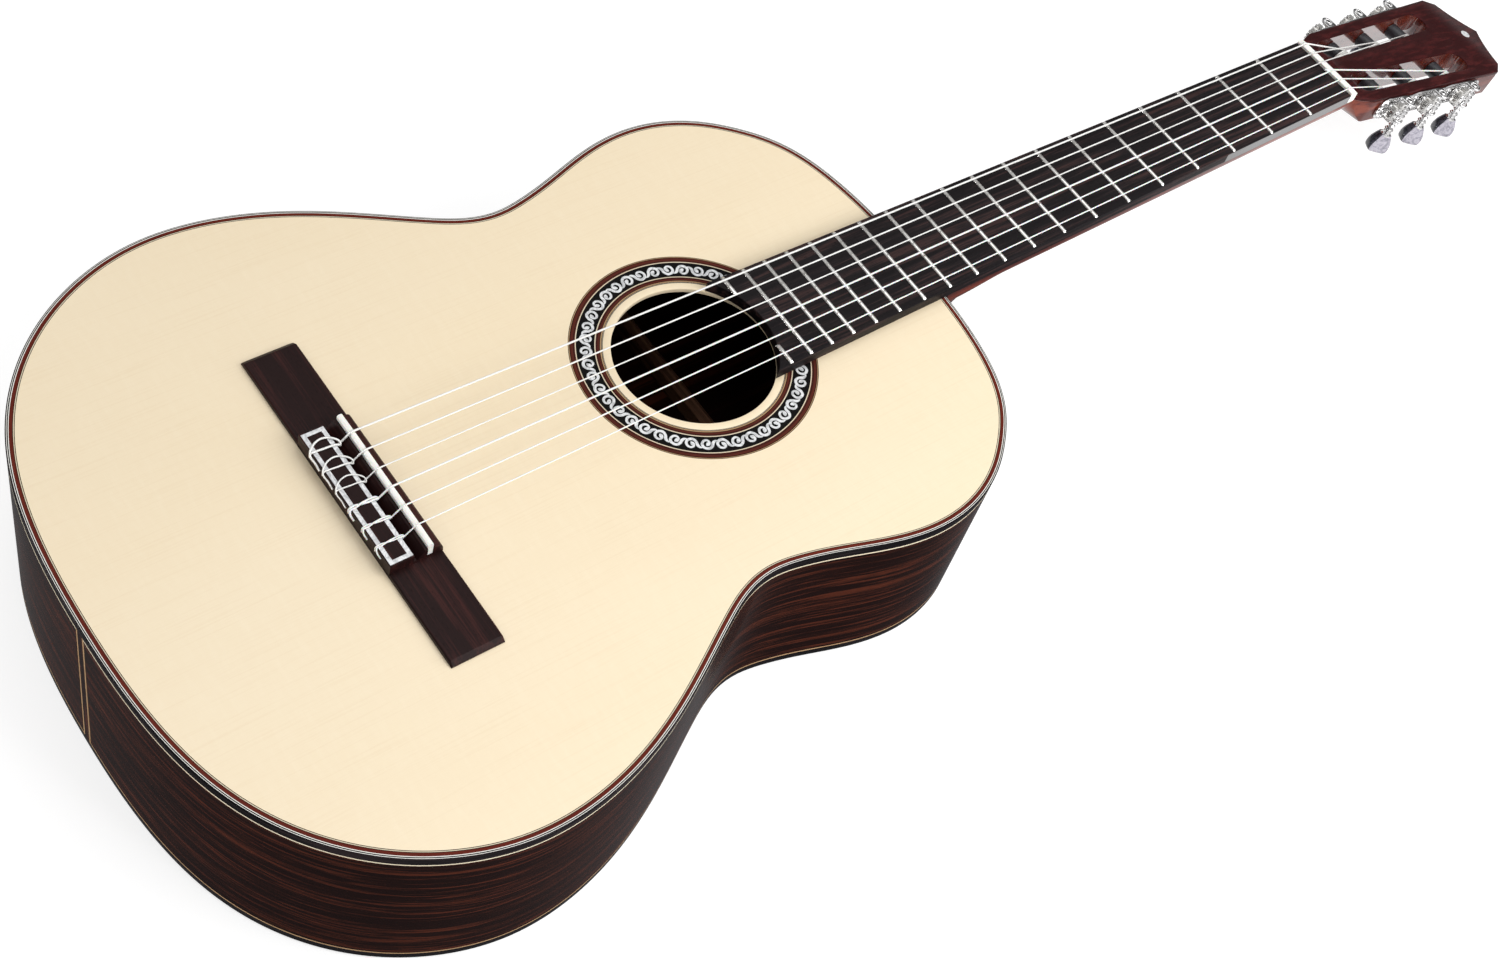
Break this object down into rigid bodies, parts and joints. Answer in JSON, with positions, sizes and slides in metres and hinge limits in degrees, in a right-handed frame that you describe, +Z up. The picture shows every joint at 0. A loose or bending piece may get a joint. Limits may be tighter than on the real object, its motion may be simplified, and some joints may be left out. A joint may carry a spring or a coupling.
{
  "type": "classical guitar",
  "caption": "Nylon-string classical guitar: hollow figure-of-eight body, fretted neck, tie bridge and slotted head whose worm tuners wind the strings.",
  "frame": {"origin": "on the ground plane under the middle of the guitar's whole length and width, with the guitar lying on its flat back", "axes": "+Y from the tail towards the head, +X towards the treble side, +Z up out of the back through the soundboard"},
  "size_m": [0.3672, 0.974, 0.116],
  "materials": {
    "spruce": "gloss lacquer over straight-grained spruce",
    "rosewood": "gloss lacquer over dark rosewood",
    "ebony": "polished ebony",
    "cedar": "gloss lacquer over red-brown cedar",
    "inner_wood": "bare sanded cedar and mahogany",
    "rosette_inlay": "inlaid veneers under gloss lacquer",
    "pale_inlay": "pale veneer under gloss lacquer",
    "bone": "polished bone",
    "wound_string": "silver-plated winding",
    "nylon_string": "clear nylon",
    "nickel": "bright nickel plate",
    "gear_steel": "cut steel",
    "roller_plastic": "moulded black",
    "pearl": "dark pearl"
  },
  "bodies": {
    "root": {"soundboard": "spruce", "fan_brace_1": "spruce", "fan_brace_2": "spruce", "fan_brace_3": "spruce", "fan_brace_4": "spruce", "fan_brace_5": "spruce", "back_plate": "rosewood", "bass_side": "rosewood", "treble_side": "rosewood", "head_faceplate": "rosewood", "top_binding": "ebony", "back_binding": "ebony", "bridge": "ebony", "fingerboard": "ebony", "neck": "cedar", "top_lining": "inner_wood", "back_lining": "inner_wood", "end_block": "inner_wood", "harmonic_bar_upper": "inner_wood", "harmonic_bar_lower": "inner_wood", "back_brace_1": "inner_wood", "back_brace_2": "inner_wood", "back_brace_3": "inner_wood", "rosette": "rosette_inlay", "end_graft": "pale_inlay", "nut": "bone", "saddle": "bone", "tie_block_inlay": "bone", "string_1": "wound_string", "string_2": "wound_string", "string_3": "wound_string", "string_4": "nylon_string", "string_5": "nylon_string", "string_6": "nylon_string", "tuner_plate_bass": "nickel", "tuner_plate_treble": "nickel"},
    "tuner_1": {"worm_1": "nickel", "button_1": "pearl"},
    "capstan_1": {"roller_1": "roller_plastic", "gear_1": "gear_steel"},
    "tuner_2": {"worm_2": "nickel", "button_2": "pearl"},
    "capstan_2": {"roller_2": "roller_plastic", "gear_2": "gear_steel"},
    "tuner_3": {"worm_3": "nickel", "button_3": "pearl"},
    "capstan_3": {"roller_3": "roller_plastic", "gear_3": "gear_steel"},
    "tuner_4": {"worm_4": "nickel", "button_4": "pearl"},
    "capstan_4": {"roller_4": "roller_plastic", "gear_4": "gear_steel"},
    "tuner_5": {"worm_5": "nickel", "button_5": "pearl"},
    "capstan_5": {"roller_5": "roller_plastic", "gear_5": "gear_steel"},
    "tuner_6": {"worm_6": "nickel", "button_6": "pearl"},
    "capstan_6": {"roller_6": "roller_plastic", "gear_6": "gear_steel"}
  },
  "joints": [
    {"name": "tuner_1_turn", "type": "hinge", "parent": "root", "child": "tuner_1", "pos_m": [-0.03711, 0.36435, 0.08537], "axis": [0, 0.2107, 0.9775], "continuous": true},
    {"name": "capstan_1_turn", "type": "hinge", "parent": "root", "child": "capstan_1", "pos_m": [-0.01579, 0.35437, 0.07806], "axis": [-0.9993, -0.0358, 0.0077], "continuous": true},
    {"name": "tuner_2_turn", "type": "hinge", "parent": "root", "child": "tuner_2", "pos_m": [-0.03843, 0.39952, 0.07779], "axis": [0, 0.2107, 0.9775], "continuous": true},
    {"name": "capstan_2_turn", "type": "hinge", "parent": "root", "child": "capstan_2", "pos_m": [-0.01711, 0.38953, 0.07048], "axis": [-0.9993, -0.0358, 0.0077], "continuous": true},
    {"name": "tuner_3_turn", "type": "hinge", "parent": "root", "child": "tuner_3", "pos_m": [-0.03975, 0.43469, 0.07021], "axis": [0, 0.2107, 0.9775], "continuous": true},
    {"name": "capstan_3_turn", "type": "hinge", "parent": "root", "child": "capstan_3", "pos_m": [-0.01843, 0.4247, 0.0629], "axis": [-0.9993, -0.0358, 0.0077], "continuous": true},
    {"name": "tuner_4_turn", "type": "hinge", "parent": "root", "child": "tuner_4", "pos_m": [0.03975, 0.43469, 0.07021], "axis": [0, 0.2107, 0.9775], "continuous": true},
    {"name": "capstan_4_turn", "type": "hinge", "parent": "root", "child": "capstan_4", "pos_m": [0.01843, 0.4247, 0.0629], "axis": [0.9993, -0.0358, 0.0077], "continuous": true},
    {"name": "tuner_5_turn", "type": "hinge", "parent": "root", "child": "tuner_5", "pos_m": [0.03843, 0.39952, 0.07779], "axis": [0, 0.2107, 0.9775], "continuous": true},
    {"name": "capstan_5_turn", "type": "hinge", "parent": "root", "child": "capstan_5", "pos_m": [0.01711, 0.38953, 0.07048], "axis": [0.9993, -0.0358, 0.0077], "continuous": true},
    {"name": "tuner_6_turn", "type": "hinge", "parent": "root", "child": "tuner_6", "pos_m": [0.03711, 0.36435, 0.08537], "axis": [0, 0.2107, 0.9775], "continuous": true},
    {"name": "capstan_6_turn", "type": "hinge", "parent": "root", "child": "capstan_6", "pos_m": [0.01579, 0.35437, 0.07806], "axis": [0.9993, -0.0358, 0.0077], "continuous": true}
  ],
  "couplings": [
    {"joint": "capstan_1_turn", "follows": "tuner_1_turn", "ratio": -0.071429},
    {"joint": "capstan_2_turn", "follows": "tuner_2_turn", "ratio": -0.071429},
    {"joint": "capstan_3_turn", "follows": "tuner_3_turn", "ratio": -0.071429},
    {"joint": "capstan_4_turn", "follows": "tuner_4_turn", "ratio": -0.071429},
    {"joint": "capstan_5_turn", "follows": "tuner_5_turn", "ratio": -0.071429},
    {"joint": "capstan_6_turn", "follows": "tuner_6_turn", "ratio": -0.071429}
  ]
}
